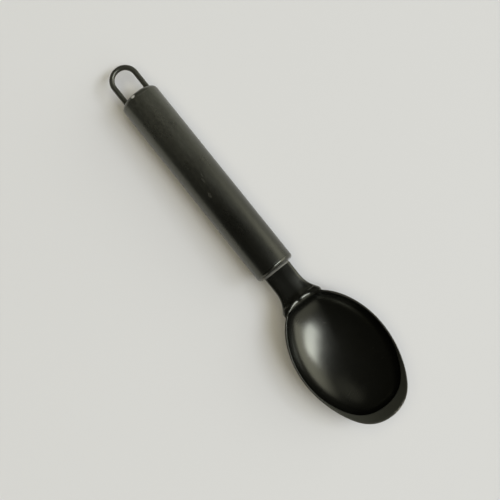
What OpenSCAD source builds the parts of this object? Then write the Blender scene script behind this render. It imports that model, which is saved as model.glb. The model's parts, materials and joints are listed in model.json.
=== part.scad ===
// Ice cream spoon: an oval cast bowl with a scraping lip, on a flared neck,
// held in a hollow tube handle with closed ends and a wire loop to hang it by.
// The spoon lies on a flat surface at z = 0, with its bowl towards +X.

/* [Handle] */
// Outside diameter of the handle tube
tube_od = 21; // [18:0.5:26]
// Wall of the handle tube
tube_wall = 0.8; // [0.6:0.1:1.4]
// Length of the handle over its two closed ends
handle_l = 112; // [90:1:140]
// Rounding of the handle's front end
front_edge_r = 1.6; // [0.8:0.1:3]
// Rounding of the handle's rear end
rear_edge_r = 2.4; // [0.8:0.1:4]
// Sheet of the two end caps
cap_t = 1.2; // [0.8:0.1:1.6]
// Straight band of a cap between its rounding and the tube
cap_band = 0.5; // [0.3:0.1:2]
// Length of a cap's spigot inside the tube
spigot_l = 6; // [3:0.5:12]
// Radial clearance of a spigot in the tube
spigot_fit = 0.05; // [0.02:0.01:0.1]

/* [Hanging loop] */
// Diameter of the loop's wire
wire_d = 2.8; // [2:0.1:4]
// Distance between the centre lines of the loop's legs
loop_w = 13.4; // [9:0.1:15]
// Reach of the loop behind the handle
loop_reach = 19.5; // [14:0.5:40]
// Length of the legs inside the handle
leg_inside = 14; // [4:1:30]
// Radial clearance of a leg in its hole
wire_fit = 0.05; // [0.02:0.01:0.1]

/* [Neck and tang] */
// Distance from the handle to the back of the bowl's rim
neck_l = 17.4; // [14:0.1:30]
// Width of the neck's straight part
neck_w = 15; // [11.5:0.1:17]
// Thickness of the neck at the handle
neck_t = 5.2; // [4.4:0.1:8]
// How far the neck runs down on its way to the bowl
neck_drop = 0.7; // [0:0.1:3]
// Radius of the flare between the neck's sides and the ears
flare_r = 15; // [10:1:24]
// Radius of the hollow under the neck, where it meets the bowl
under_r = 9; // [7:1:14]
// Root fillet where the neck leaves the handle
root_r = 0.4; // [0.2:0.1:1]
// Width of the tang inside the handle
tang_w = 10.6; // [7:0.1:11]
// Thickness of the tang
tang_t = 3.4; // [2.4:0.1:4]
// Length of the tang inside the handle
tang_l = 36; // [15:1:60]
// Clearance of the tang in the front cap's slot, all round
tang_fit = 0.1; // [0.05:0.05:0.3]

/* [Ears] */
// Width over the two ears, where they start to round
ear_w = 22.3; // [19:0.1:25]
// Distance of the ears in front of the back of the rim
ear_set = 1.7; // [1:0.1:3]
// Rounding of an ear
ear_r = 2.6; // [0.8:0.1:3]

/* [Bowl] */
// Length of the bowl over its rim
bowl_l = 72.7; // [62:0.1:85]
// Width of the bowl over its rim
bowl_w = 48; // [40:0.1:58]
// Distance from the back of the rim to the bowl's widest place
widest_at = 35.2; // [30:0.1:40]
// Depth of the hollow under the rim
bowl_depth = 14; // [11:0.5:22]
// Wall at the bottom of the bowl
bowl_wall = 1.8; // [1.2:0.1:3]
// Fullness of the bowl's sections: 2 is an ellipse, and more gives steeper sides
section_full = 2; // [1.8:0.1:3]
// Fullness of the oval's front end
front_full = 0.21; // [0:0.01:0.3]
// Leanness of the oval's back outline
back_lean = 0.055; // [0:0.005:0.1]
// Fullness of the hollow's back corners
back_full = 0.36; // [0.1:0.01:0.6]
// Rake of the underside of the lip, which slims the front wall
lip_rake = 0.25; // [0.1:0.05:0.4]

/* [Rim] */
// Width of the rim along the sides
rim_w = 0.9; // [0.8:0.1:2]
// Width of the scraping lip at the tip
lip_w = 5.7; // [2:0.1:9]
// Fall of the lip from its edge to the hollow
lip_drop = 1.4; // [0.4:0.1:2]
// Width of the ridge over the neck
ridge_w = 3.7; // [3.7:0.1:4.5]
// Height of the ridge over the neck
ridge_h = 0.6; // [0.3:0.1:1.6]
// Length of the slope from the ridge down to the neck
ridge_run = 2.6; // [1.5:0.1:4]
// Rounding of the rim's edges
rim_edge_r = 0.35; // [0.2:0.05:0.4]
// Rounding of the ridge's inner edge
ridge_edge_r = 3.2; // [1:0.1:3.2]

/* [Hidden] */

$fn = 96;
coat_satin = "#20201f";
coat_gloss = "#151515";
skin = 0.02;

tube_r = tube_od / 2;
spigot_r = tube_r - tube_wall - spigot_fit;
wire_r = wire_d / 2;
front_band = front_edge_r + cap_band;
rear_band = rear_edge_r + cap_band;
loop_bend_x = -handle_l - loop_reach + loop_w / 2 + wire_r;

// The bowl's plan is an egg, drawn about its widest place
front_reach = bowl_l - widest_at;
rim_z = neck_t / 2 + ridge_h - neck_drop;
bowl_x = neck_l + widest_at;
outer_depth = bowl_depth + bowl_wall;
round_steps = 80;
wall_steps = 12;
edge_steps = 4;
back_soft = 0.8;
ridge_share = 0.66;

// The flare is tangent to the neck's side and ends at the ear
neck_half = neck_w / 2;
ear_half = ear_w / 2;
ear_x = neck_l + ear_set;
flare_rise = ear_half - neck_half;
flare_run = sqrt(pow(flare_r, 2) - pow(flare_r - flare_rise, 2));
flare_x = ear_x - flare_run;
flare_turn = asin(flare_run / flare_r);
ear_centre = [ear_x + ear_r * sin(flare_turn), ear_half - ear_r * cos(flare_turn)];
neck_end = ear_x + 1.3 * ear_r;
under_x = neck_end - 0.85 * under_r;
neck_steps = 28;
section_steps = 32;

function mix(a, b, k) = a + (b - a) * k;
function ease(k) = k <= 0 ? 0 : k >= 1 ? 1 : (1 - cos(180 * k)) / 2;
function power_of(v, e) = sign(v) * pow(abs(v), e);

// The smaller of two lengths, with a soft change from one to the other
function soft_min(a, b, k) = (a + b - sqrt(pow(a - b, 2) + pow(k, 2))) / 2;

// A point of an egg outline at an angle from the tip, about the widest place
function egg(front, back, half, full, a) =
    [(front + back) / 2 * cos(a) + (front - back) / 2 * pow(cos(a), 2),
     half * sin(a) * (1 + full)];

// The outline is lean at the back, and the hollow full, where the ridge cuts it nearly straight
function rim_edge(a) =
    let (c = cos(a), full = c > 0 ? front_full * pow(c, 6) : -back_lean * pow(-c, 1.5))
    egg(front_reach, widest_at, bowl_w / 2, full, a);
function mouth(a) =
    let (c = cos(a), full = c > 0 ? front_full * pow(c, 6) : back_full * pow(c, 10),
        back = widest_at - ridge_share * ridge_w,
        p = egg(front_reach - lip_w, back, bowl_w / 2 - rim_w, full, a))
    [-soft_min(-p.x, widest_at - ridge_w, back_soft), p.y];
function mouth_z(a) = -lip_drop * pow(max(0, cos(a)), 1.5);
function inner_edge_r(a) = mix(rim_edge_r, ridge_edge_r, pow(max(0, -cos(a)), 12));
function inward(a) = (mouth(a) - rim_edge(a)) / norm(mouth(a) - rim_edge(a));

// The bowl's wall outside, from the rim at t = 0 to the lowest point at t = 90
function outer_point(a, t) =
    let (e = 2 / (section_full - lip_rake * pow(max(0, cos(a)), 2)), p = rim_edge(a) * pow(cos(t), e))
    [p.x, p.y, mix(-rim_edge_r, -outer_depth, pow(sin(t), e))];

// The rounded outer edge of the rim, from the wall at t = 0 to the top at t = 90
function edge_point(a, t) =
    let (p = rim_edge(a) + inward(a) * rim_edge_r * (1 - cos(t)))
    [p.x, p.y, rim_edge_r * (sin(t) - 1)];

// The rounded inner edge, from the land at t = 0 to the hollow's wall at t = 90
function mouth_point(a, t) =
    let (r = inner_edge_r(a), p = mouth(a) - inward(a) * r * (1 - sin(t)))
    [p.x, p.y, mouth_z(a) - r * (1 - cos(t))];

// The hollow's wall, from the mouth at t = 0 to the lowest point at t = 90
function inner_point(a, t) =
    let (e = 2 / section_full, p = mouth(a) * pow(cos(t), e))
    [p.x, p.y, mix(mouth_z(a) - inner_edge_r(a), -bowl_depth, pow(sin(t), e))];

// A surface half way through the wall, which trims the neck
function core_point(a, t) = (outer_point(a, t) + inner_point(a, t)) / 2;

function round_angles() = [for (i = [0 : round_steps - 1]) 360 * i / round_steps];
function down_angles() = [for (i = [0 : wall_steps - 1]) 90 * i / wall_steps];
function up_angles() = [for (i = [1 : wall_steps]) 90 - 90 * i / wall_steps];
function edge_angles() = [for (i = [0 : edge_steps]) 90 * i / edge_steps];

// Triangles of a skin of rings, closed by a point at either end
function skin_faces(rings, steps) =
    let (last = rings * steps + 1)
    concat(
        [for (i = [0 : steps - 1]) [0, 1 + i, 1 + (i + 1) % steps]],
        [for (k = [0 : rings - 2], i = [0 : steps - 1], half = [0, 1])
            let (a = 1 + k * steps + i, b = 1 + k * steps + (i + 1) % steps)
            half == 0 ? [a, b + steps, b] : [a, a + steps, b + steps]],
        [for (i = [0 : steps - 1]) [last, last - steps + (i + 1) % steps, last - steps + i]]);

shell_points = concat(
    [[0, 0, -outer_depth]],
    [for (t = up_angles(), a = round_angles()) outer_point(a, t)],
    [for (t = [for (i = [1 : edge_steps]) 90 * i / edge_steps], a = round_angles()) edge_point(a, t)],
    [for (t = edge_angles(), a = round_angles()) mouth_point(a, t)],
    [for (t = [for (i = [1 : wall_steps - 1]) 90 * i / wall_steps], a = round_angles())
        inner_point(a, t)],
    [[0, 0, -bowl_depth]]);
shell_rings = 2 * wall_steps + 2 * edge_steps;

core_points = concat(
    [[0, 0, -(outer_depth + bowl_depth) / 2]],
    [for (t = up_angles(), a = round_angles()) core_point(a, t)],
    [for (a = round_angles()) [core_point(a, 0).x, core_point(a, 0).y, 2 * ridge_h]],
    [[0, 0, 2 * ridge_h]]);
core_rings = wall_steps + 1;

// The spoon rests on the common tangent of the handle's rear edge and the bowl's belly
belly = [for (t = down_angles(), a = round_angles())
    outer_point(a, t) + [bowl_x, 0, rim_z]];
rest_edge = [-handle_l + rear_edge_r, rear_edge_r - tube_r];
pitch = -min([for (p = belly)
    let (d = [p.x, p.z] - rest_edge) atan2(d.y, d.x) + asin(rear_edge_r / norm(d))]);
rest_z = rear_edge_r - rest_edge.x * sin(pitch) - rest_edge.y * cos(pitch);
reach_back = (loop_bend_x - loop_w / 2) * cos(pitch) - wire_r;
reach_front = max([for (p = belly) p.x * cos(pitch) - p.z * sin(pitch)]);
rest_x = -(reach_back + reach_front) / 2;

// Half the neck's width, its middle height and the height of its underside
function neck_half_at(x) =
    x < root_r ? neck_half + root_r - sqrt(pow(root_r, 2) - pow(root_r - x, 2))
    : x < flare_x ? neck_half
    : x < ear_x ? neck_half + flare_r - sqrt(pow(flare_r, 2) - pow(x - flare_x, 2))
    : ear_centre.y + sqrt(pow(ear_r, 2) - pow(x - ear_centre.x, 2));
function neck_mid(x) = -neck_drop * ease(x / neck_l);
function neck_under(x) =
    neck_mid(x) - neck_t / 2 - (x < under_x ? 0 : under_r - sqrt(pow(under_r, 2) - pow(x - under_x, 2)));

// The back of the rim as a table of x over y, and the neck's top, which rises to it
rim_back = [for (a = [180 : -4 : 120]) [rim_edge(a).y, bowl_x + rim_edge(a).x]];
function neck_top(x, y) =
    mix(rim_z - skin, neck_mid(x) + neck_t / 2, ease((lookup(abs(y), rim_back) - x) / ridge_run));

function neck_section(x) =
    let (half = neck_half_at(x), mid = neck_mid(x), low = neck_under(x),
        round_low = mix(4, 2.2, ease((x - flare_x) / (neck_end - flare_x))))
    [for (i = [0 : section_steps - 1])
        let (a = 360 * i / section_steps, y = half * power_of(cos(a), a < 180 ? 0.5 : 2 / round_low))
        [y, a < 180 ? mix(mid, neck_top(x, y), power_of(sin(a), 0.5))
            : mix(mid, low, power_of(-sin(a), 2 / round_low))]];

// Places along the neck, closer together towards the bowl and at the root
neck_places = concat(
    [for (i = [0 : 2]) root_r * (1 - cos(30 * i))],
    [for (i = [0 : neck_steps]) root_r + (neck_end - root_r) * (1 - pow(1 - i / neck_steps, 1.6))]);

module as_it_lies() {
    translate([rest_x, 0, rest_z]) rotate([0, -pitch, 0]) children();
}

module neck_slice(x) {
    translate([x, 0, 0]) rotate([90, 0, 90]) linear_extrude(skin) polygon(neck_section(x));
}

module neck() {
    for (i = [0 : len(neck_places) - 2]) {
        hull() {
            neck_slice(neck_places[i]);
            neck_slice(neck_places[i + 1]);
        }
    }
}

// A flat bar with round ends and round edges, from the neck into the handle
module tang() {
    hull() {
        for (x = [tang_w / 2 - tang_l, neck_half - tang_w / 2], z = [-1, 1]) {
            translate([x, 0, z * tang_t / 4]) cylinder(h = tang_t / 2, d = tang_w, center = true, $fn = 32);
        }
    }
}

module bowl_shell() {
    translate([bowl_x, 0, rim_z]) polyhedron(shell_points, skin_faces(shell_rings, round_steps));
}

module bowl_core() {
    translate([bowl_x, 0, rim_z]) polyhedron(core_points, skin_faces(core_rings, round_steps));
}

module spoon_head() {
    color(coat_gloss) as_it_lies() union() {
        bowl_shell();
        difference() {
            neck();
            bowl_core();
        }
        tang();
    }
}

module handle_tube() {
    length = handle_l - front_band - rear_band;
    color(coat_satin) as_it_lies() translate([-handle_l + rear_band, 0, 0]) rotate([0, 90, 0])
        difference() {
            cylinder(h = length, r = tube_r);
            translate([0, 0, -1]) cylinder(h = length + 2, r = tube_r - tube_wall);
        }
}

// Half section of an end cap: the seam with the tube is at y = 0, the closed face above it
module cap_profile(edge_r) {
    height = edge_r + cap_band;
    difference() {
        union() {
            square([tube_r - edge_r, height]);
            square([tube_r, cap_band]);
            translate([tube_r - edge_r, cap_band]) intersection() {
                circle(r = edge_r);
                square(edge_r);
            }
            translate([0, -spigot_l]) square([spigot_r, spigot_l + cap_band]);
        }
        translate([0, -spigot_l - 1]) square([spigot_r - cap_t, spigot_l + 1 + height - cap_t]);
    }
}

module front_cap() {
    slot_w = tang_w + 2 * tang_fit;
    slot_t = tang_t + 2 * tang_fit;
    color(coat_satin) as_it_lies() difference() {
        translate([-front_band, 0, 0]) rotate([0, 90, 0]) rotate_extrude() cap_profile(front_edge_r);
        translate([-front_band, -slot_w / 2, -slot_t / 2]) cube([front_band + 1, slot_w, slot_t]);
    }
}

module rear_cap() {
    color(coat_satin) as_it_lies() difference() {
        translate([-handle_l + rear_band, 0, 0]) rotate([0, -90, 0]) rotate_extrude()
            cap_profile(rear_edge_r);
        for (side = [-1, 1]) {
            translate([-handle_l - 1, side * loop_w / 2, 0]) rotate([0, 90, 0])
                cylinder(h = rear_band + 1, r = wire_r + wire_fit);
        }
    }
}

module hanging_loop() {
    leg_l = leg_inside - handle_l - loop_bend_x;
    color(coat_satin) as_it_lies() translate([loop_bend_x, 0, 0]) {
        for (side = [-1, 1]) {
            translate([0, side * loop_w / 2, 0]) rotate([0, 90, 0]) cylinder(h = leg_l, r = wire_r);
        }
        rotate([0, 0, 90]) rotate_extrude(angle = 180) translate([loop_w / 2, 0]) circle(r = wire_r);
    }
}

spoon_head();
handle_tube();
front_cap();
rear_cap();
hanging_loop();
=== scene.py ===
"""The looks of the ice cream spoon: a cast head with a scraping lip, a tube handle and a wire loop.

Each piece is modelled in millimetres in the handle's own frame: x runs along the handle towards the
bowl, from 0 at the handle's front face, and z = 0 is the handle's axis. LYING then lays it in the
row frame, in metres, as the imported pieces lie.
"""

import json
import math

import bmesh
import bpy
from mathutils import Matrix, Vector

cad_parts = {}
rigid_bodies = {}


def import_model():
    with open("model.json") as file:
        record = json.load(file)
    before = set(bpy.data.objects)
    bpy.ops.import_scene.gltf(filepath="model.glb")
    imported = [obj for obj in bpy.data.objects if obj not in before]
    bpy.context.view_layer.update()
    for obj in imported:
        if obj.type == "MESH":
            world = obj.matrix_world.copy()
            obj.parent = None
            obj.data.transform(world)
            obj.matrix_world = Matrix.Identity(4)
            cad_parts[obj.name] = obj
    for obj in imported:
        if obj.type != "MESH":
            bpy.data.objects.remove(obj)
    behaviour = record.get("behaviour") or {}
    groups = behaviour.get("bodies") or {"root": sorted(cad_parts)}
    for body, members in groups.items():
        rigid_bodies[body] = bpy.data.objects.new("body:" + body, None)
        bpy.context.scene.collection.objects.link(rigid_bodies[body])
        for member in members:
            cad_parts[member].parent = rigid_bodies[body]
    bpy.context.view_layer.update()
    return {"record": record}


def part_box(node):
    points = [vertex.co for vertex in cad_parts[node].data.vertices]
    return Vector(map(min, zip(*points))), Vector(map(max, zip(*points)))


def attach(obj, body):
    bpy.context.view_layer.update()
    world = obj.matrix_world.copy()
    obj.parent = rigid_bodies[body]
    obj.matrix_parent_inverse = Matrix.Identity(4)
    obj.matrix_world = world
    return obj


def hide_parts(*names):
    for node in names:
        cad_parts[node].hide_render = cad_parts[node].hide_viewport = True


MM = 0.001

# Handle, in mm
TUBE_R = 10.5
TUBE_WALL = 0.8
HANDLE_L = 112.0
FRONT_EDGE_R = 1.6
REAR_EDGE_R = 2.4
CAP_T = 1.2
CAP_BAND = 0.5
SPIGOT_L = 6.0
SPIGOT_FIT = 0.05

# Seams of the tube and its ends: their rounding, and a next ring of points that keeps the shading even
SEAM_R = 0.06
SEAM_HOLD = 0.12

# Steps of the handle's mesh, and how near its points are merged
SEAM_STEPS = 3
ROUND_STEPS = 144
EDGE_STEPS = 12
MERGE_DIST = 0.0005

# Hanging loop, in mm
WIRE_R = 1.4
LOOP_W = 13.4
LOOP_REACH = 19.5
LEG_INSIDE = 14.0
WIRE_FIT = 0.05
WIRE_STEPS = 32
BEND_STEPS = 56
LEG_RINGS = 12

# Neck and tang, in mm
NECK_L = 17.4
NECK_W = 15.0
NECK_T = 5.2
NECK_DROP = 0.7
FLARE_R = 15.0
UNDER_R = 9.0
ROOT_R = 0.4
ROOT_FILLET_R = 0.9
TANG_W = 10.6
TANG_T = 3.4
TANG_L = 36.0
TANG_FIT = 0.1
TANG_EDGE_R = 0.3
EAR_W = 22.3
EAR_SET = 1.7
EAR_R = 2.6
RIDGE_RUN = 2.6

# How square the neck's section is, and its lower half at the ears, where 2 is an ellipse
NECK_SQUARE = 4
UNDER_SQUARE = 2.2

# The neck's end past the ears, in ear radii, and its under hollow's start before that, in hollow radii
EAR_PAST = 1.3
UNDER_BEFORE = 0.85

# Bowl and rim, in mm
BOWL_L = 72.7
BOWL_W = 48.0
WIDEST_AT = 35.2
BOWL_DEPTH = 14.0
BOWL_WALL = 1.8
RIM_W = 0.9
LIP_W = 5.7
LIP_DROP = 1.4
RIDGE_W = 3.7
RIDGE_SOFT = 0.8
RIDGE_H = 0.6
RIM_EDGE_R = 0.35
RIDGE_EDGE_R = 3.2

# Bowl and rim, as shares and fullnesses
SECTION_FULL = 2.0
FRONT_FULL = 0.21
BACK_LEAN = 0.055
BACK_FULL = 0.36
LIP_RAKE = 0.25
RIDGE_SHARE = 0.66

# How late each of these sets in towards the tip or the back, as a power of the turn's cosine
FRONT_POWER = 6
BACK_POWER = 1.5
CORNER_POWER = 10
LIP_POWER = 1.5
RIDGE_POWER = 12

# Rows of the head's mesh
COLUMNS = 112
EAR_COLUMNS = 9
WALL_ROWS = 22
EDGE_ROWS = 3
LAND_ROWS = 2
MOUTH_ROWS = 5
NECK_UNDER_ROWS = 7
ANGLE_SLACK = 0.01

# Rings of the neck, which crowd towards the bowl, and of the fillet at its root, as shares of its radius
NECK_RINGS = 18
NECK_CROWDING = 1.6
NECK_BLEND_RATE = 4.5
ROOT_SHARES = (0.75, 0.52, 0.34, 0.2, 0.1, 0.04, 0.01, 0)
SECTION_POINTS = 240
HALVINGS = 30
TANG_END_STEPS = 6
TANG_EDGE_STEPS = 3

# Values that follow
FRONT_BAND = FRONT_EDGE_R + CAP_BAND
REAR_BAND = REAR_EDGE_R + CAP_BAND
FACE_HOLD = 4 * SEAM_HOLD
SPIGOT_R = TUBE_R - TUBE_WALL - SPIGOT_FIT
LOOP_BEND_X = -HANDLE_L - LOOP_REACH + LOOP_W / 2 + WIRE_R
FRONT_REACH = BOWL_L - WIDEST_AT
RIM_Z = NECK_T / 2 + RIDGE_H - NECK_DROP
BOWL_X = NECK_L + WIDEST_AT
OUTER_DEPTH = BOWL_DEPTH + BOWL_WALL
NECK_HALF = NECK_W / 2
EAR_HALF = EAR_W / 2
EAR_X = NECK_L + EAR_SET
FLARE_RUN = math.sqrt(FLARE_R**2 - (FLARE_R - EAR_HALF + NECK_HALF) ** 2)
FLARE_X = EAR_X - FLARE_RUN
FLARE_TURN = math.asin(FLARE_RUN / FLARE_R)
EAR_CENTRE_X = EAR_X + EAR_R * math.sin(FLARE_TURN)
EAR_CENTRE_Y = EAR_HALF - EAR_R * math.cos(FLARE_TURN)
NECK_END = EAR_X + EAR_PAST * EAR_R
UNDER_X = NECK_END - UNDER_BEFORE * UNDER_R
TANG_END_X = TANG_W / 2 - TANG_L
TANG_STATIONS = (0, -0.3, -2, -TANG_L / 2, TANG_END_X)


def mix(a, b, k):
    """The value from a at k = 0 to b at k = 1."""
    return a + (b - a) * k


def ease(k):
    """A soft change from 0 to 1 as k does."""
    k = min(max(k, 0), 1)
    return (1 - math.cos(math.pi * k)) / 2


def power_of(v, e):
    """A power that keeps its base's sign."""
    return math.copysign(abs(v) ** e, v)


def quarter(i, steps):
    """The angle at one of the steps of a quarter turn."""
    return math.pi / 2 * i / steps


# The bowl's plan, an egg about its widest place, by the angle from the tip


def egg(front, back, half, full, a):
    """A point of an egg, by its reach to the front and the back, its half width and its added fullness."""
    c = math.cos(a)
    x = (front + back) / 2 * c + (front - back) / 2 * c**2
    return Vector((x, half * math.sin(a) * (1 + full), 0))


def rim_edge(a):
    """The rim's outer edge, a little square at the front and lean at the back."""
    c = math.cos(a)
    full = FRONT_FULL * c**FRONT_POWER if c > 0 else -BACK_LEAN * (-c) ** BACK_POWER
    return egg(FRONT_REACH, WIDEST_AT, BOWL_W / 2, full, a)


def mouth(a):
    """The hollow's outline, which the ridge cuts nearly straight at the back."""
    c = math.cos(a)
    full = FRONT_FULL * c**FRONT_POWER if c > 0 else BACK_FULL * c**CORNER_POWER
    p = egg(FRONT_REACH - LIP_W, WIDEST_AT - RIDGE_SHARE * RIDGE_W, BOWL_W / 2 - RIM_W, full, a)
    back, ridge = -p.x, WIDEST_AT - RIDGE_W
    p.x = -(back + ridge - math.sqrt((back - ridge) ** 2 + RIDGE_SOFT**2)) / 2
    return p


def mouth_z(a):
    """The height of the hollow's outline from the rim, which is lowest at the tip, inside the lip."""
    return -LIP_DROP * max(0, math.cos(a)) ** LIP_POWER


def inner_edge_r(a):
    """The radius of the rim's rounded inner edge, which is largest on the ridge at the back."""
    return mix(RIM_EDGE_R, RIDGE_EDGE_R, max(0, -math.cos(a)) ** RIDGE_POWER)


def inward(a):
    """The direction across the rim's top, towards the hollow."""
    return (mouth(a) - rim_edge(a)).normalized()


def bowl_point(p, z):
    """A point in the handle's frame, from a place in the bowl's plan and a height from the rim."""
    return Vector((BOWL_X + p.x, p.y, RIM_Z + z))


def outer_point(a, t):
    """The wall outside, from the rim at t = 0 to the lowest point at a right angle."""
    e = 2 / (SECTION_FULL - LIP_RAKE * max(0, math.cos(a)) ** 2)
    return bowl_point(rim_edge(a) * math.cos(t) ** e, mix(-RIM_EDGE_R, -OUTER_DEPTH, math.sin(t) ** e))


def edge_point(a, t):
    """The rim's rounded outer edge, from the wall to the top."""
    p = rim_edge(a) + inward(a) * RIM_EDGE_R * (1 - math.cos(t))
    return bowl_point(p, RIM_EDGE_R * (math.sin(t) - 1))


def land_point(a, k):
    """The rim's top, from its outer edge at k = 0 to its inner one at k = 1. At the tip it is the lip."""
    r = inner_edge_r(a)
    outer = rim_edge(a) + inward(a) * RIM_EDGE_R
    inner = mouth(a) - inward(a) * r
    return bowl_point(outer.lerp(inner, k), mouth_z(a) * k)


def mouth_point(a, t):
    """The rounded inner edge, from the rim's top to the hollow's wall."""
    r = inner_edge_r(a)
    p = mouth(a) - inward(a) * r * (1 - math.sin(t))
    return bowl_point(p, mouth_z(a) - r * (1 - math.cos(t)))


def inner_point(a, t):
    """The hollow's wall, from the mouth at t = 0 to the lowest point at a right angle."""
    e = 2 / SECTION_FULL
    z = mix(mouth_z(a) - inner_edge_r(a), -BOWL_DEPTH, math.sin(t) ** e)
    return bowl_point(mouth(a) * math.cos(t) ** e, z)


# The neck's sections, by the distance from the handle


def neck_half_at(x):
    """Half the neck's width: a fillet at the root, a straight stretch, the flare and the ear."""
    if x < ROOT_R:
        return NECK_HALF + ROOT_R - math.sqrt(ROOT_R**2 - (ROOT_R - x) ** 2)
    if x < FLARE_X:
        return NECK_HALF
    if x < EAR_X:
        return NECK_HALF + FLARE_R - math.sqrt(FLARE_R**2 - (x - FLARE_X) ** 2)
    return EAR_CENTRE_Y + math.sqrt(max(0, EAR_R**2 - (x - EAR_CENTRE_X) ** 2))


def neck_mid(x):
    """The height of the neck's middle, which drops towards the bowl."""
    return -NECK_DROP * ease(x / NECK_L)


def neck_under(x):
    """The height of the neck's underside, which curves down to the bowl at its end."""
    hollow = UNDER_R - math.sqrt(UNDER_R**2 - (x - UNDER_X) ** 2) if x > UNDER_X else 0
    return neck_mid(x) - NECK_T / 2 - hollow


def rim_back_x(y):
    """The place of the rim's back edge over the neck, at a distance from the middle."""
    low, high = math.pi / 2, math.pi
    for _ in range(HALVINGS):
        a = (low + high) / 2
        if rim_edge(a).y > abs(y):
            low = a
        else:
            high = a
    return BOWL_X + rim_edge(low).x


def neck_top(x, y):
    """The neck's top, with the fillet at its root and the slope up to the ridge."""
    fillet = ROOT_FILLET_R
    root = fillet - math.sqrt(fillet**2 - (fillet - x) ** 2) if x < fillet else 0
    return root + mix(RIM_Z, neck_mid(x) + NECK_T / 2, ease((rim_back_x(y) - x) / RIDGE_RUN))


def neck_section(x, count):
    """Evenly spaced points round the neck at x, from the middle of its top, as (y, z)."""
    half, mid, low = neck_half_at(x), neck_mid(x), neck_under(x)
    high_e = 2 / NECK_SQUARE
    low_e = 2 / mix(NECK_SQUARE, UNDER_SQUARE, ease((x - FLARE_X) / (NECK_END - FLARE_X)))
    dense = []
    for i in range(SECTION_POINTS):
        a = math.pi / 2 - 2 * math.pi * i / SECTION_POINTS
        if math.sin(a) >= 0:
            y = half * power_of(math.cos(a), high_e)
            z = mix(mid, neck_top(x, y), math.sin(a) ** high_e)
        else:
            y = half * power_of(math.cos(a), low_e)
            z = mix(mid, low, (-math.sin(a)) ** low_e)
        dense.append(Vector((y, z)))
    return evenly(dense, count)


def evenly(points, count):
    """Points spaced evenly by length along a closed outline, from its first point."""
    ring = points + points[:1]
    lengths = [0]
    for a, b in zip(ring, ring[1:]):
        lengths.append(lengths[-1] + (b - a).length)
    out = []
    k = 0
    for i in range(count):
        want = lengths[-1] * i / count
        while lengths[k + 1] < want:
            k += 1
        share = (want - lengths[k]) / (lengths[k + 1] - lengths[k])
        out.append(ring[k].lerp(ring[k + 1], share))
    return out


# Mesh helpers


def lying(frame):
    """The matrix from the handle's frame, in mm, to the row frame. The mount's axis is the handle's z."""
    up = Vector(frame["record"]["mounts"][0]["axis"]).normalized()
    along = Vector((up.z, 0, -up.x))
    low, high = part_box("handle_tube")
    tube_middle = (REAR_BAND - HANDLE_L - FRONT_BAND) / 2
    origin = (low + high) / 2 - along * tube_middle * MM
    turn = Matrix((along, Vector((0, 1, 0)), up)).transposed().to_4x4()
    return Matrix.Translation(origin) @ turn @ Matrix.Scale(MM, 4)


def linked(name, mesh):
    """A new object of the scene, at the origin."""
    obj = bpy.data.objects.new(name, mesh)
    bpy.context.scene.collection.objects.link(obj)
    return obj


def mesh_from(bm, name):
    """A mesh of the bmesh's shape, with the bmesh freed."""
    mesh = bpy.data.meshes.new(name)
    bm.to_mesh(mesh)
    bm.free()
    return mesh


def finished(bm, name, material, replaced):
    """A bmesh in the handle's frame as a piece of the spoon that rides on the frame."""
    mesh = mesh_from(bm, name)
    for working in ("turn", "row", "place"):
        if working in mesh.attributes:
            mesh.attributes.remove(mesh.attributes[working])
    mesh.transform(LYING)
    mesh.materials.append(material)
    mesh.polygons.foreach_set("use_smooth", [True] * len(mesh.polygons))
    piece = linked(name, mesh)
    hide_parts(replaced)
    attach(piece, "root")
    return piece


def arc(centre, radius, start, end, steps):
    """Points of an arc as (x, radius from the axis), from a start to an end angle in degrees."""
    angles = [math.radians(mix(start, end, i / steps)) for i in range(steps + 1)]
    return [(centre[0] + radius * math.cos(a), centre[1] + radius * math.sin(a)) for a in angles]


def spun(profile, closed):
    """A profile of (x, radius) points turned once round the handle's axis."""
    bm = bmesh.new()
    verts = [bm.verts.new((x, 0, r)) for x, r in profile]
    ends = verts[1:] + verts[:1] if closed else verts[1:]
    edges = [bm.edges.new(pair) for pair in zip(verts, ends)]
    bmesh.ops.spin(
        bm,
        geom=verts + edges,
        cent=(0, 0, 0),
        axis=(1, 0, 0),
        dvec=(0, 0, 0),
        angle=2 * math.pi,
        steps=ROUND_STEPS,
        use_merge=True,
        use_normal_flip=False,
        use_duplicate=False,
    )
    bmesh.ops.remove_doubles(bm, verts=bm.verts, dist=MERGE_DIST)
    bmesh.ops.recalc_face_normals(bm, faces=bm.faces)
    return bm


def verts_of(edges):
    """The vertices at the ends of these edges."""
    return {v for e in edges for v in e.verts}


def next_ring(bm, edges, place):
    """A ring of edges pulled out by one row of faces, with each new vertex put where place says."""
    made = bmesh.ops.extrude_edge_only(bm, edges=edges)["geom"]
    verts = [v for v in made if isinstance(v, bmesh.types.BMVert)]
    new = set(verts)
    for v in verts:
        v.co = place(v)
    return [e for e in made if isinstance(e, bmesh.types.BMEdge) and e.verts[0] in new and e.verts[1] in new]


def close_ring(bm, edges, centre):
    """A ring of edges closed by a fan to its centre."""
    last = next_ring(bm, edges, lambda v: Vector(centre))
    bmesh.ops.pointmerge(bm, verts=list(verts_of(last)), merge_co=centre)


# Node helpers


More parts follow.
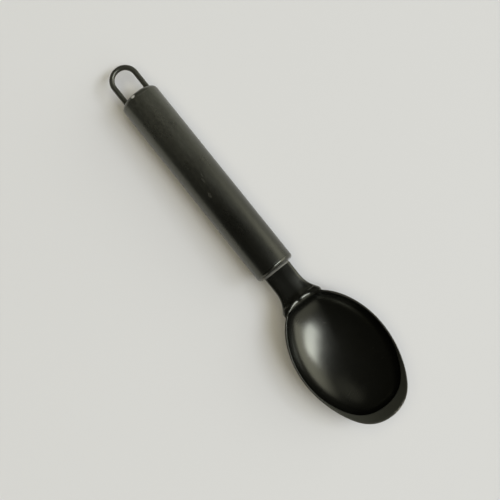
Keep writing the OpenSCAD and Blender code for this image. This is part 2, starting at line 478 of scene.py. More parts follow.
class Nodes:
    """Short calls for the nodes of one tree."""

    def __init__(self, tree):
        self.tree = tree

    def node(self, kind, **values):
        """A new node, with each value set as its property or fed to its input."""
        made = self.tree.nodes.new(kind)
        for key, value in values.items():
            if hasattr(made, key):
                setattr(made, key, value)
            else:
                self.feed(made.inputs[key], value)
        return made

    def feed(self, socket, value):
        """Another node's output, or a plain value, for an input."""
        if isinstance(value, bpy.types.NodeSocket):
            self.tree.links.new(value, socket)
        else:
            socket.default_value = value

    def calc(self, operation, a, b):
        """The result of a sum of two numbers, each plain or another node's."""
        made = self.node("ShaderNodeMath", operation=operation)
        self.feed(made.inputs[0], a)
        self.feed(made.inputs[1], b)
        return made.outputs["Value"]

    def times(self, a, b):
        return self.calc("MULTIPLY", a, b)

    def plus(self, a, b):
        return self.calc("ADD", a, b)

    def minus(self, a, b):
        return self.calc("SUBTRACT", a, b)

    def over(self, a, b):
        return self.calc("DIVIDE", a, b)

    def larger(self, a, b):
        return self.calc("MAXIMUM", a, b)

    def step(self, value, low, high, start=0.0, end=1.0):
        """A soft change from start to end as value goes from low to high."""
        made = self.node("ShaderNodeMapRange", interpolation_type="SMOOTHSTEP")
        names = ("Value", "From Min", "From Max", "To Min", "To Max")
        for name, number in zip(names, (value, low, high, start, end)):
            self.feed(made.inputs[name], number)
        return made.outputs["Result"]

    def blend(self, a, b, factor):
        """The colour a, which goes to b as factor goes from 0 to 1."""
        made = self.node("ShaderNodeMix", data_type="RGBA")
        colours = [socket for socket in made.inputs if socket.type == "RGBA"]
        self.feed(colours[0], a)
        self.feed(colours[1], b)
        self.feed(made.inputs[0], factor)
        return [socket for socket in made.outputs if socket.type == "RGBA"][0]


class Shade(Nodes):
    """The nodes of one material."""

    def __init__(self, name):
        self.material = bpy.data.materials.new(name)
        self.material.use_nodes = True
        super().__init__(self.material.node_tree)
        self.shader = self.tree.nodes["Principled BSDF"]

    def finish(self, name, value):
        """Sets one of the shader's own inputs."""
        self.feed(self.shader.inputs[name], value)

    def place(self):
        """The surface point in the handle's frame: x along it, y across, z up, in mm."""
        move, turn, _ = LYING.decompose()
        point = self.node("ShaderNodeTexCoord").outputs["Object"]
        fit = self.node("ShaderNodeMapping", vector_type="TEXTURE", Vector=point)
        self.feed(fit.inputs["Location"], move)
        self.feed(fit.inputs["Rotation"], turn.to_euler())
        self.feed(fit.inputs["Scale"], (MM, MM, MM))
        return fit.outputs["Vector"]

    def parts(self, vector):
        """The x, y and z of a vector."""
        out = self.node("ShaderNodeSeparateXYZ", Vector=vector).outputs
        return out["X"], out["Y"], out["Z"]

    def noise(self, vector, scale, detail, roughness=0.55):
        """A cloudy pattern from 0 to 1, by its scale per mm, its detail and its roughness."""
        made = self.node("ShaderNodeTexNoise", Vector=vector, Scale=scale, Detail=detail, Roughness=roughness)
        return made.outputs["Fac"]

    def stretched(self, vector, factors):
        """A vector whose x, y and z are scaled, so that a pattern on it is long where a factor is small."""
        return self.node("ShaderNodeMapping", Vector=vector, Scale=factors).outputs["Vector"]

    def shaded(self, colour, factor):
        """A colour made lighter or darker by a factor."""
        made = self.node("ShaderNodeVectorMath", operation="SCALE", Scale=factor)
        self.feed(made.inputs[0], colour)
        return made.outputs["Vector"]

    def spot(self, vector, centre, size):
        """1 at a place on the surface, fading to 0 at its edge, whatever the height."""
        x, y, _ = self.parts(vector)
        dx = self.over(self.minus(x, centre[0]), size[0])
        dy = self.over(self.minus(y, centre[1]), size[1])
        away = self.plus(self.times(dx, dx), self.times(dy, dy))
        return self.step(away, SPOT_CORE, 1.0, 1.0, 0.0)

    def relief(self, layers):
        """Bumps on top of each other, each a height and its depth in mm."""
        normal = None
        for height, depth in layers:
            bump = self.node("ShaderNodeBump", Strength=1.0, Distance=depth * MM, Height=height)
            if normal:
                self.feed(bump.inputs["Normal"], normal)
            normal = bump.outputs["Normal"]
        self.finish("Normal", normal)


# Coats, with places and depths in mm, and patterns as their scale per mm, detail and roughness

COAT_TINT = (1.0, 0.99, 0.8, 1)
# Colour of rubbed wear, and on the head also of the painted highlights on the rim and the neck's root
RUBBED_AND_HIGHLIGHT_COLOUR = (0.075, 0.073, 0.066, 1)
WEAR_DEPTH = 0.02
SPOT_CORE = 0.15
SHEEN_SPREAD = (0.3, 0.7)

SATIN_IOR = 1.75
SATIN_COLOUR = (0.0040, 0.0041, 0.0033)
SATIN_TONE = (0.65, 1.35)
SATIN_ROUGHNESS = (0.28, 0.34)
SATIN_SHEEN = (0.05, 5.0, 0.6)
MOTTLE = (0.8, 6.0, 0.8)
MOTTLE_STRETCH = (0.5, 1.0, 1.0)
MOTTLE_SPREAD = (0.32, 0.68)
MOTTLE_DEPTH = 0.02
SATIN_WAVES = (0.5, 2.0)
SATIN_WAVE_DEPTH = 0.010
SATIN_GRAIN = (5.0, 3.0, 0.6)
SATIN_GRAIN_DEPTH = 0.006
# Painted light: the handle's colour grows lighter towards its rear end, where more light falls on it
REAR_PAINTED_LIGHT = 6.0
REAR_PAINTED_LIGHT_RUN = (-HANDLE_L, -0.2 * HANDLE_L)

# Wear of the handle: its rubbed ends and loop, its shoulder's polish and the hand's
FRONT_RUB = (-1.5, -0.7)
REAR_RUB = (2.2 - HANDLE_L, 1.0 - HANDLE_L)
LOOP_RUB = (-HANDLE_L - 0.2, -HANDLE_L - 0.6)
LOOP_RUB_SHARE = 0.6
RUB_SPECKS = (1.1, 5.0, 0.7)
RUB_SPECK_CUT = (0.63, 0.68)
RUB_POLISH = 0.1
SHOULDER = (-1.9, -1.2)
SHOULDER_POLISH = 0.13
HAND_POLISH = 0.035
HAND_PATCHES = (1.0, 3.0)
HAND_STRETCH = (0.03, 0.12, 0.12)
HAND_SPREAD = (0.4, 0.65)

# Marks on the handle's top, as a place and a half size along and across the handle
TOP_SIDE = (2.0, 6.0)
SCUFFS = (((-47.9, -2.8), (2.0, 0.8)), ((-55.6, -0.7), (1.8, 0.5)), ((-58.0, 0.4), (1.2, 0.4)))
SCUFF_COLOUR = (0.04, 0.04, 0.034, 1)
SCUFF_RAGS = (2.4, 3.0)
SCUFF_CUT = (0.42, 0.56)
REAR_CHIP = ((-110.6, -2.1), (0.9, 1.3))
CHIP_COLOUR = (0.45, 0.45, 0.42, 1)

GLOSS_IOR = 1.68
GLOSS_COLOUR = (0.0022, 0.0023, 0.0018)
GLOSS_TONE = (0.8, 1.2)
GLOSS_CLOUD = (0.06, 4.0)
GLOSS_ROUGHNESS = (0.22, 0.26)
GLOSS_SHEEN = (0.045, 5.0, 0.6)
GLOSS_WAVES = (0.22, 2.0)
GLOSS_WAVE_DEPTH = 0.012
GLOSS_GRAIN = (2.8, 2.0)
GLOSS_GRAIN_DEPTH = 0.0015

# Wear of the rim and the lip, painted highlights on the rim and the neck's root, the lip greyed by painted
# reflection, and the duller lip and root of the neck
RIM_TOP = (RIM_Z - 0.25, RIM_Z - 0.05)
RIM_RUN = (NECK_END, NECK_END + 3)
# Painted highlight: the share of the rim's lighter band that is even all round, under the worn specks
RIM_PAINTED_HIGHLIGHT = 0.3
RIM_SPECKS = (1.3, 5.0, 0.7)
RIM_SPECK_CUT = (0.62, 0.68)
# Painted reflection: the lip's top is coloured greyer, standing in for the grey it mirrors
LIP_PAINTED_REFLECTION_COLOUR = (0.0185, 0.0195, 0.0155, 1)
LIP_RUN = (BOWL_X + 6, BOWL_X + 26)
LIP_TOP = (RIM_Z - 2.2, RIM_Z - 1.5)
LIP_PAINTED_REFLECTION = 0.7
LIP_DULLNESS = 0.06
LIP_CHIPS = ((89.3, 6.5), (2.5, 6.0))
LIP_CHIP_COLOUR = (0.2, 0.2, 0.18, 1)
LIP_CHIP_TOP = (RIM_Z - 0.22, RIM_Z - 0.1)
LIP_CHIP_RAGS = (1.6, 2.0)
LIP_CHIP_CUT = (0.5, 0.54)
# Painted highlight: the band across the neck's root that is coloured lighter, and made duller
ROOT_BAND = (1.2 * ROOT_FILLET_R, 0.8 * ROOT_FILLET_R)
ROOT_DULLNESS = 0.22

# Hairlines from use in the head's coat
LINE_TURNS = (0.35, 1.25, 2.3)
LINES = (1.0, 1.0, 0.4)
LINE_STRETCH = (0.02, 2.2, 0.3)
LINE_CUT = (0.7, 0.73)
LINE_PATCHES = (0.09, 2.0)
LINE_PATCH_SPREAD = (0.45, 0.6)
LINE_COLOUR = (0.02, 0.02, 0.019, 1)
LINE_SHARE = 0.1
LINE_RELIEF = 0.02
LINE_DULLNESS = 0.02

# The ridge's uneven top, which falls towards +y and rises towards -y, with a crest and a dip between
CROWN_DROP = 0.85
CROWN_FALL = (0.8, 6.0)
CROWN_FALL_RUN = (NECK_L - 11, NECK_L)
CROWN_FALL_START = 0.6
CROWN_RISE = (-0.8, -6.0)
CROWN_CREST = (-2.4, 0.8)
CROWN_CREST_SHARE = 0.35
RIDGE_START = (NECK_L - 0.2, NECK_L + 0.8)
RIDGE_END = (NECK_L + 4.4, NECK_L + 3.2)


def satin_coat():
    """Satin black on the tube, its ends and its loop: a fine mottle, painted light that greys the rear end,
    rubbed edges and a few scuffs.
    """
    shade = Shade("satin_black")
    place = shade.place()
    x, _, z = shade.parts(place)
    mottle = shade.noise(shade.stretched(place, MOTTLE_STRETCH), *MOTTLE)
    cloud = shade.step(mottle, *MOTTLE_SPREAD, *SATIN_TONE)
    # Painted light: the colour is lighter towards the rear end, standing in for the light that falls there
    rear_painted_light = shade.step(x, *REAR_PAINTED_LIGHT_RUN, REAR_PAINTED_LIGHT, 1.0)
    paint = shade.shaded(SATIN_COLOUR, shade.times(cloud, rear_painted_light))

    ends = shade.larger(shade.step(x, *FRONT_RUB), shade.step(x, *REAR_RUB))
    loop = shade.times(shade.step(x, *LOOP_RUB), LOOP_RUB_SHARE)
    specks = shade.step(shade.noise(place, *RUB_SPECKS), *RUB_SPECK_CUT)
    rubbed = shade.times(shade.larger(ends, loop), specks)

    top = shade.step(z, *TOP_SIDE)
    ragged = shade.step(shade.noise(place, *SCUFF_RAGS), *SCUFF_CUT)
    scuffs = 0.0
    for centre, size in SCUFFS:
        scuffs = shade.larger(scuffs, shade.times(shade.spot(place, centre, size), ragged))
    scuffed = shade.times(scuffs, top)
    chip = shade.times(shade.spot(place, *REAR_CHIP), top)
    colour = shade.blend(paint, RUBBED_AND_HIGHLIGHT_COLOUR, rubbed)
    colour = shade.blend(colour, SCUFF_COLOUR, scuffed)
    shade.finish("Base Color", shade.blend(colour, CHIP_COLOUR, chip))

    dull = shade.step(shade.noise(place, *SATIN_SHEEN), *SHEEN_SPREAD, *SATIN_ROUGHNESS)
    patches = shade.noise(shade.stretched(place, HAND_STRETCH), *HAND_PATCHES)
    handled = shade.step(patches, *HAND_SPREAD, 0.0, HAND_POLISH)
    worn = shade.times(shade.larger(rubbed, scuffed), RUB_POLISH)
    polished = shade.times(shade.step(x, *SHOULDER), SHOULDER_POLISH)
    shade.finish("Roughness", shade.minus(shade.minus(dull, handled), shade.plus(worn, polished)))
    shade.finish("IOR", SATIN_IOR)
    shade.finish("Specular Tint", COAT_TINT)
    shade.relief(
        [
            (shade.noise(place, *SATIN_WAVES), SATIN_WAVE_DEPTH),
            (mottle, MOTTLE_DEPTH),
            (shade.noise(place, *SATIN_GRAIN), SATIN_GRAIN_DEPTH),
            (shade.larger(rubbed, shade.larger(scuffed, chip)), -WEAR_DEPTH),
        ]
    )
    return shade.material


def gloss_coat():
    """Half-gloss black on the cast head: a soft skin, faint hairlines, a duller lip, worn edges and painted
    light on the lip, rim and root.
    """
    shade = Shade("gloss_black")
    place = shade.place()
    x, y, z = shade.parts(place)
    cloud = shade.step(shade.noise(place, *GLOSS_CLOUD), *SHEEN_SPREAD, *GLOSS_TONE)
    paint = shade.shaded(GLOSS_COLOUR, cloud)

    lip = shade.times(shade.step(x, *LIP_RUN), shade.step(z, *LIP_TOP))
    root = shade.step(x, *ROOT_BAND)
    ragged = shade.step(shade.noise(place, *LIP_CHIP_RAGS), *LIP_CHIP_CUT)
    chips = shade.times(shade.spot(place, *LIP_CHIPS), ragged)
    chips = shade.times(chips, shade.step(z, *LIP_CHIP_TOP))
    # The rim's top: worn specks, over an even lighter band that is a painted highlight
    rim = shade.times(shade.step(z, *RIM_TOP), shade.step(x, *RIM_RUN))
    specks = shade.step(shade.noise(place, *RIM_SPECKS), *RIM_SPECK_CUT)
    rim_wear_and_highlight = shade.times(rim, shade.step(specks, 0.0, 1.0, RIM_PAINTED_HIGHLIGHT, 1.0))
    # worn holds the rim's wear with its painted highlight, and the lip's chips
    worn = shade.larger(rim_wear_and_highlight, chips)
    lines = hairlines(shade, place)
    colour = shade.blend(paint, LINE_COLOUR, shade.times(lines, LINE_SHARE))
    # Painted reflection: the lip's top is greyed, standing in for the grey it mirrors
    colour = shade.blend(colour, LIP_PAINTED_REFLECTION_COLOUR, shade.times(lip, LIP_PAINTED_REFLECTION))
    # Painted highlights: the rim's even band and the neck's root are coloured lighter, besides the rim's worn
    # specks and chips
    colour = shade.blend(colour, RUBBED_AND_HIGHLIGHT_COLOUR, shade.larger(worn, root))
    shade.finish("Base Color", shade.blend(colour, LIP_CHIP_COLOUR, chips))

    dull = shade.step(shade.noise(place, *GLOSS_SHEEN), *SHEEN_SPREAD, *GLOSS_ROUGHNESS)
    dulled = shade.plus(shade.times(lip, LIP_DULLNESS), shade.times(lines, LINE_DULLNESS))
    dulled = shade.plus(dulled, shade.times(root, ROOT_DULLNESS))
    shade.finish("Roughness", shade.plus(dull, dulled))
    shade.finish("IOR", GLOSS_IOR)
    shade.finish("Specular Tint", COAT_TINT)
    shade.relief(
        [
            (ridge_crown(shade, x, y), -CROWN_DROP),
            (shade.noise(place, *GLOSS_WAVES), GLOSS_WAVE_DEPTH),
            (shade.noise(place, *GLOSS_GRAIN), GLOSS_GRAIN_DEPTH),
            (shade.larger(shade.times(lines, LINE_RELIEF), worn), -WEAR_DEPTH),
        ]
    )
    return shade.material


def hairlines(shade, place):
    """Fine lines in three directions, 1 on a line."""
    total = 0.0
    for turn in LINE_TURNS:
        turned = shade.node("ShaderNodeVectorRotate", rotation_type="Z_AXIS", Vector=place, Angle=turn)
        lines = shade.noise(shade.stretched(turned.outputs["Vector"], LINE_STRETCH), *LINES)
        total = shade.larger(total, shade.step(lines, *LINE_CUT))
    patches = shade.step(shade.noise(place, *LINE_PATCHES), *LINE_PATCH_SPREAD)
    return shade.times(total, patches)


def ridge_crown(shade, x, y):
    """How far the top falls, on the neck and the ridge, less how far the ridge rises again."""
    along = shade.step(x, *CROWN_FALL_RUN, CROWN_FALL_START, 1.0)
    fall = shade.times(shade.step(y, *CROWN_FALL), along)
    crest = shade.times(shade.step(y, *CROWN_CREST), CROWN_CREST_SHARE)
    rise = shade.times(shade.plus(shade.step(y, *CROWN_RISE), crest), shade.step(x, *RIDGE_START))
    return shade.times(shade.minus(fall, rise), shade.step(x, *RIDGE_END))


# Pieces


def grip_tube(material):
    """The tube, with its ends a hair rounded where the caps meet it."""
    rear, front = REAR_BAND - HANDLE_L, -FRONT_BAND
    outer, inner, r = TUBE_R, TUBE_R - TUBE_WALL, SEAM_R
    profile = [
        *arc((rear + r, outer - r), r, 180, 90, SEAM_STEPS),
        (rear + SEAM_HOLD, outer),
        (front - SEAM_HOLD, outer),
        *arc((front - r, outer - r), r, 90, 0, SEAM_STEPS),
        (front, inner + r),
        (front - r, inner),
        (rear + r, inner),
        (rear, inner + r),
    ]
    return finished(spun(profile, True), "grip_tube", material, "handle_tube")


def end_cap_profile(edge_r):
    """Half a section of an end cap: x = 0 at the seam with the tube, and its closed face at +x."""
    height, r = edge_r + CAP_BAND, SEAM_R
    return [
        (height, 0),
        (height, TUBE_R - edge_r - FACE_HOLD),
        *arc((CAP_BAND, TUBE_R - edge_r), edge_r, 0, 90, EDGE_STEPS),
        (SEAM_HOLD, TUBE_R),
        *arc((r, TUBE_R - r), r, 90, 180, SEAM_STEPS),
        (0, SPIGOT_R),
        (-SPIGOT_L + r, SPIGOT_R),
        (-SPIGOT_L, SPIGOT_R - r),
        (-SPIGOT_L, SPIGOT_R - CAP_T),
        (height - CAP_T, SPIGOT_R - CAP_T),
        (height - CAP_T, 0),
    ]


def cut_by(bm, cutter, name):
    """The bmesh with the cutter's solid taken out of it."""
    body = linked(name, mesh_from(bm, name))
    tool = linked(name + "_cutter", mesh_from(cutter, name + "_cutter"))
    hole = body.modifiers.new("hole", "BOOLEAN")
    hole.operation = "DIFFERENCE"
    hole.solver = "EXACT"
    hole.object = tool
    bpy.context.view_layer.update()
    seen = body.evaluated_get(bpy.context.evaluated_depsgraph_get())
    out = bmesh.new()
    out.from_mesh(seen.to_mesh())
    seen.to_mesh_clear()
    for holder in (body, tool):
        mesh = holder.data
        bpy.data.objects.remove(holder)
        bpy.data.meshes.remove(mesh)
    return out


def front_end(material):
    """The rounded front end, with the slot that the tang goes through."""
    bm = spun([(x - FRONT_BAND, r) for x, r in end_cap_profile(FRONT_EDGE_R)], False)
    cutter = bmesh.new()
    bmesh.ops.create_cube(cutter, size=1)
    size = (2 * FRONT_BAND, TANG_W + 2 * TANG_FIT, TANG_T + 2 * TANG_FIT)
    bmesh.ops.scale(cutter, vec=size, verts=cutter.verts)
    return finished(cut_by(bm, cutter, "front_end"), "front_end", material, "front_cap")


def rear_end(material):
    """The rounded rear end, with the two holes of the loop's legs."""
    profile = [(-HANDLE_L + REAR_BAND - x, r) for x, r in end_cap_profile(REAR_EDGE_R)]
    bm = spun(profile, False)
    cutter = bmesh.new()
    for side in (-1, 1):
        made = bmesh.ops.create_cone(
            cutter,
            cap_ends=True,
            segments=WIRE_STEPS,
            radius1=WIRE_R + WIRE_FIT,
            radius2=WIRE_R + WIRE_FIT,
            depth=4 * REAR_BAND,
        )["verts"]
        bmesh.ops.rotate(cutter, cent=(0, 0, 0), matrix=Matrix.Rotation(math.pi / 2, 3, "Y"), verts=made)
        bmesh.ops.translate(cutter, vec=(-HANDLE_L, side * LOOP_W / 2, 0), verts=made)
    return finished(cut_by(bm, cutter, "rear_end"), "rear_end", material, "rear_cap")


def hang_loop(material):
    """The wire, from inside the rear end round its bend and back."""
    bm = bmesh.new()
    start = LEG_INSIDE - HANDLE_L
    made = bmesh.ops.create_circle(bm, cap_ends=True, segments=WIRE_STEPS, radius=WIRE_R)["verts"]
    bmesh.ops.rotate(bm, cent=(0, 0, 0), matrix=Matrix.Rotation(-math.pi / 2, 3, "Y"), verts=made)
    bmesh.ops.translate(bm, vec=(start, -LOOP_W / 2, 0), verts=made)
    edges = leg(bm, list(bm.edges), start, LOOP_BEND_X)
    spin = bmesh.ops.spin(
        bm,
        geom=edges,
        cent=(LOOP_BEND_X, 0, 0),
        axis=(0, 0, -1),
        dvec=(0, 0, 0),
        angle=math.pi,
        steps=BEND_STEPS,
        use_merge=False,
        use_normal_flip=False,
        use_duplicate=False,
    )
    edges = [e for e in spin["geom_last"] if isinstance(e, bmesh.types.BMEdge)]
    edges = leg(bm, edges, LOOP_BEND_X, start)
    bmesh.ops.edgeloop_fill(bm, edges=edges)
    bmesh.ops.recalc_face_normals(bm, faces=bm.faces)
    return finished(bm, "hang_loop", material, "hanging_loop")


def leg(bm, edges, start, end):
    """A straight leg of the loop, from one x to another."""
    for i in range(1, LEG_RINGS + 1):
        x = mix(start, end, i / LEG_RINGS)
        edges = next_ring(bm, edges, lambda v: Vector((x, v.co.y, v.co.z)))
    return edges


def spoon_casting(material):
    """The cast head in one piece: the bowl with its rim and lip, the neck with its ears, and the tang."""
    bm = bmesh.new()
    # A vertex hands these to the next ring: its angle from the tip, row outside and place round the neck
    turn = bm.verts.layers.float.new("turn")
    bm.verts.layers.int.new("row")
    bm.verts.layers.int.new("place")
    row = bm.verts.layers.int["row"]
    ring = bmesh.ops.create_circle(bm, cap_ends=False, segments=COLUMNS, radius=1)["verts"]
    for v in ring:
        v[turn] = math.atan2(v.co.y, v.co.x)
        v.co = land_point(v[turn], 0)
    top_edges = list(bm.edges)

    edges = top_edges
    for i in range(1, LAND_ROWS + 1):
        edges = next_ring(bm, edges, lambda v: land_point(v[turn], i / LAND_ROWS))
    for i in range(1, MOUTH_ROWS + 1):
        edges = next_ring(bm, edges, lambda v: mouth_point(v[turn], quarter(i, MOUTH_ROWS)))
    for i in range(1, WALL_ROWS):
        edges = next_ring(bm, edges, lambda v: inner_point(v[turn], quarter(i, WALL_ROWS)))
    close_ring(bm, edges, (BOWL_X, 0, RIM_Z - BOWL_DEPTH))

    outside = [(edge_point, quarter(i, EDGE_ROWS)) for i in range(EDGE_ROWS - 1, -1, -1)]
    outside += [(outer_point, quarter(i, WALL_ROWS)) for i in range(1, WALL_ROWS)]
    edges = top_edges
    for count, (surface, t) in enumerate(outside, 1):
        edges = next_ring(bm, edges, lambda v: surface(v[turn], t))
        for v in verts_of(edges):
            v[row] = count
    close_ring(bm, edges, (BOWL_X, 0, RIM_Z - OUTER_DEPTH))

    edges = open_back(bm, turn, row, verts_of(top_edges))
    neck_and_tang(bm, edges)
    bmesh.ops.recalc_face_normals(bm, faces=bm.faces)
    head = finished(bm, "spoon_casting", material, "spoon_head")
    smooth = head.modifiers.new("smooth", "SUBSURF")
    smooth.levels = smooth.render_levels = 1
    return head


def open_back(bm, turn, row, rim):
    """Opens the bowl's back under the ridge, and gives the edges of the hole."""
    reach = EAR_COLUMNS * 2 * math.pi / COLUMNS + ANGLE_SLACK
    last_row = EDGE_ROWS + NECK_UNDER_ROWS

    def in_patch(v):
        near_back = math.pi - abs(v[turn]) < reach
        return near_back and (v in rim or 1 <= v[row] <= last_row)

    patch = [f for f in bm.faces if all(in_patch(v) for v in f.verts)]
    bmesh.ops.delete(bm, geom=patch, context="FACES")
    return [e for e in bm.edges if e.is_boundary]


def neck_and_tang(bm, edges):
    """Pulls the neck out of the hole in the bowl's back, and the tang out of the neck."""
    loop = ordered_loop(edges)
    count = len(loop)
    start = [v.co.copy() for v in loop]
    place = bm.verts.layers.int["place"]
    for i, v in enumerate(loop):
        v[place] = i
    sections = {}

    def neck_point(i, x):
        key = round(min(x, NECK_END), 4)
        if key not in sections:
            sections[key] = neck_section(key, count)
        y, z = sections[key][i]
        return Vector((x, y, z))

    offset = [start[i] - neck_point(i, start[i].x) for i in range(count)]
    for k in range(1, NECK_RINGS + 1):
        share = (k / NECK_RINGS) ** NECK_CROWDING
        keep = (1 - min(1, share * NECK_BLEND_RATE)) ** 2

        def on_neck(v):
            i = v[place]
            x = mix(start[i].x, ROOT_FILLET_R, share)
            return neck_point(i, x) + offset[i] * keep

        edges = next_ring(bm, edges, on_neck)
    for share in ROOT_SHARES:
        x = share * ROOT_FILLET_R
        edges = next_ring(bm, edges, lambda v: neck_point(v[place], x))
    tang(bm, edges, place, evenly(rounded_bar(TANG_W, TANG_T), count))


def tang(bm, edges, place, outline):
    """A flat bar with a round end, from the neck's root into the handle."""
    for x in TANG_STATIONS:
        edges = next_ring(bm, edges, lambda v: Vector((x, *outline[v[place]])))
    for i in range(1, TANG_END_STEPS):
        a = quarter(i, TANG_END_STEPS)
        x = TANG_END_X - TANG_W / 2 * math.sin(a)

        def on_end(v):
            y, z = outline[v[place]]
            return Vector((x, y * math.cos(a), z))

        edges = next_ring(bm, edges, on_end)
    bmesh.ops.edgeloop_fill(bm, edges=edges)


def ordered_loop(edges):
    """The vertices of a closed loop in order, from the middle of its top towards +y."""
    first = max(verts_of(edges), key=lambda v: (round(v.co.z, 3), -abs(v.co.y)))
    near = {}
    for e in edges:
        for v in e.verts:
            near.setdefault(v, []).append(e.other_vert(v))
    here = max(near[first], key=lambda v: v.co.y)
    loop = [first, here]
    while True:
        ahead = [v for v in near[loop[-1]] if v is not loop[-2]][0]
        if ahead is first:
            return loop
        loop.append(ahead)


def rounded_bar(width, height):
    """A section of a flat bar with a hair of rounding on its corners, from the middle of its top."""
    r = TANG_EDGE_R
    points = [Vector((0, height / 2))]
    for sy, sz, begin in ((1, 1, 90), (1, -1, 0), (-1, -1, -90), (-1, 1, -180)):
        for i in range(TANG_EDGE_STEPS + 1):
            a = math.radians(begin - 90 * i / TANG_EDGE_STEPS)
            y = sy * (width / 2 - r) + r * math.cos(a)
            points.append(Vector((y, sz * (height / 2 - r) + r * math.sin(a))))
    return points


# Stage, in metres

FLOOR_COLOUR = (0.634, 0.642, 0.65, 1)
FLOOR_ROUGHNESS = 0.9
FLOOR_GLOSS = 0.2
FLOOR_SIZE = 16.0
HAZE_COLOUR = (0.645, 0.652, 0.625, 1)
HAZE_RUN = (0.35, 0.9)


def shown_ray(shade):
    """1 for rays that the camera, a gloss or a clear material sends, and 0 for light only gathered."""
    path = shade.node("ShaderNodeLightPath").outputs
    seen = shade.larger(path["Is Camera Ray"], path["Is Glossy Ray"])
    return shade.larger(seen, path["Is Transmission Ray"])


def floor():
    """A plain pale floor, which runs into the pale backdrop far from the spoon."""
    bm = bmesh.new()
    bmesh.ops.create_grid(bm, x_segments=1, y_segments=1, size=FLOOR_SIZE / 2)
    mesh = mesh_from(bm, "floor")
    shade = Shade("pale_floor")
    shade.finish("Base Color", FLOOR_COLOUR)
    shade.finish("Roughness", FLOOR_ROUGHNESS)
    shade.finish("Specular IOR Level", FLOOR_GLOSS)
    far = shade.node("ShaderNodeVectorMath", operation="LENGTH")
    shade.feed(far.inputs[0], shade.node("ShaderNodeTexCoord").outputs["Object"])
    haze = shade.step(far.outputs["Value"], *HAZE_RUN)
    glow = shade.node("ShaderNodeEmission", Color=HAZE_COLOUR)
    blend = shade.node("ShaderNodeMixShader", Fac=shade.times(haze, shown_ray(shade)))
    shade.feed(blend.inputs[1], shade.shader.outputs["BSDF"])
    shade.feed(blend.inputs[2], glow.outputs["Emission"])
    shade.feed(shade.tree.nodes["Material Output"].inputs["Surface"], blend.outputs["Shader"])
    mesh.materials.append(shade.material)
    linked("floor", mesh)


# Light, with places in the room as an azimuth from +X towards +Y and an elevation, in degrees

ROOM_DARK = (0.03, 0.03, 0.027, 1)

# Glows, each a colour, a place, and the cosines of the angle from it where it starts and is full
PALE_SIDE = ((1.95, 1.95, 1.82, 1), (68, 18), (0.76, 0.98))
BACK_GLOW = ((0.25, 0.25, 0.23, 1), (130, 50), (0.93, 0.99))
FRONT_GLOW = ((0.65, 0.65, 0.6, 1), (14, 25), (0.84, 0.99))

# How high the pale horizon starts to fade and ends, as the sine of the elevation
HORIZON_RUN = (0.02, 0.12)


def sky_way(azimuth, elevation):
    """The direction of a place in the room, seen from the spoon."""
    a, e = math.radians(azimuth), math.radians(elevation)
    return Vector((math.cos(a) * math.cos(e), math.sin(a) * math.cos(e), math.sin(e)))


def softbox(name, place, distance, size, roll, power, colour):
    """An area lamp aimed at the spoon, turned about its own middle by roll."""
    lamp = bpy.data.lights.new(name, "AREA")
    lamp.shape = "RECTANGLE"
    lamp.size, lamp.size_y = size
    lamp.energy = power
    lamp.color = colour
    obj = linked(name, lamp)
    away = sky_way(*place)
    obj.location = away * distance
    obj.visible_camera = False
    turn = away.to_track_quat("Z", "Y").to_matrix() @ Matrix.Rotation(math.radians(roll), 3, "Z")
    obj.rotation_euler = turn.to_euler()
    return obj


def light():
    """A window to the right of the spoon, and a wide soft fill overhead that adds no gloss."""
    softbox(
        "window",
        place=(46, 53),
        distance=5.0,
        size=(3.6, 1.4),
        roll=-32,
        power=150,
        colour=(0.94, 0.99, 1.09),
    )
    fill = softbox(
        "fill",
        place=(0, 90),
        distance=3.0,
        size=(3.0, 3.0),
        roll=0,
        power=46,
        colour=(1.10, 1.0, 0.76),
    )
    fill.visible_glossy = False


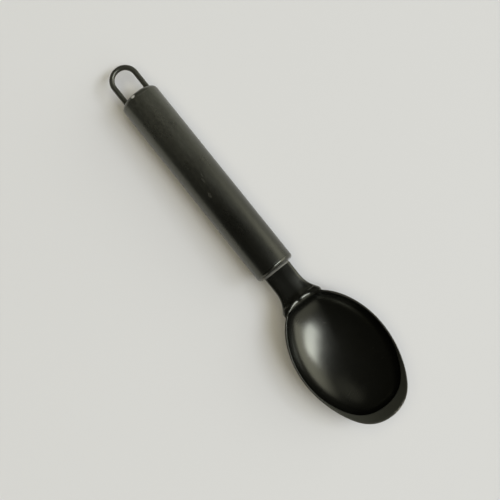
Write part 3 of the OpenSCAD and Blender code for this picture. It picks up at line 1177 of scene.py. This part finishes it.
def room():
    """The room's own light: dark, with a pale side by the window, two soft glows and a pale horizon."""
    world = bpy.data.worlds.new("room")
    bpy.context.scene.world = world
    world.use_nodes = True
    sky = Nodes(world.node_tree)
    way = sky.node("ShaderNodeTexCoord").outputs["Generated"]

    def lean(towards, low, high):
        """From 0 to 1 as the cosine of the angle from towards goes from low to high."""
        dot = sky.node("ShaderNodeVectorMath", operation="DOT_PRODUCT")
        sky.feed(dot.inputs[0], way)
        sky.feed(dot.inputs[1], towards)
        return sky.step(dot.outputs["Value"], low, high)

    seen = ROOM_DARK
    for colour, place, spread in (PALE_SIDE, BACK_GLOW, FRONT_GLOW):
        seen = sky.blend(seen, colour, lean(sky_way(*place), *spread))
    seen = sky.blend(HAZE_COLOUR, seen, lean((0, 0, 1), *HORIZON_RUN))
    sky.feed(sky.tree.nodes["Background"].inputs["Color"], seen)


# Camera, with its aim and distance in mm in the handle's frame

CAMERA_AIM = (-15.63, -4.1, 0.0)
CAMERA_LEAN = math.radians(5.804)
CAMERA_DISTANCE = 396.5
CAMERA_LENS = 57.6
CAMERA_SENSOR = 36
CAMERA_CLIP = (0.01, 50)
SPOON_TURN = math.radians(51.4)


def camera():
    """The photograph's view: from above, with the spoon running down to the right."""
    turn = LYING.to_3x3().normalized()
    away = turn @ Vector((math.sin(CAMERA_LEAN), 0, math.cos(CAMERA_LEAN)))
    along = turn @ Vector((math.cos(CAMERA_LEAN), 0, -math.sin(CAMERA_LEAN)))
    across = Vector((0, 1, 0))
    right = along * math.cos(SPOON_TURN) + across * math.sin(SPOON_TURN)
    up = across * math.cos(SPOON_TURN) - along * math.sin(SPOON_TURN)
    data = bpy.data.cameras.new("camera")
    data.sensor_width = CAMERA_SENSOR
    data.lens = CAMERA_LENS
    data.clip_start, data.clip_end = CAMERA_CLIP
    obj = linked("camera", data)
    place = LYING @ Vector(CAMERA_AIM) + away * CAMERA_DISTANCE * MM
    obj.matrix_world = Matrix.Translation(place) @ Matrix((right, up, away)).transposed().to_4x4()
    bpy.context.scene.camera = obj


for left in list(bpy.data.objects):
    bpy.data.objects.remove(left)
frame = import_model()
LYING = lying(frame)

satin = satin_coat()
gloss = gloss_coat()
grip_tube(satin)
front_end(satin)
rear_end(satin)
hang_loop(satin)
spoon_casting(gloss)

floor()
room()
light()
camera()

bpy.context.scene.view_settings.view_transform = "Standard"
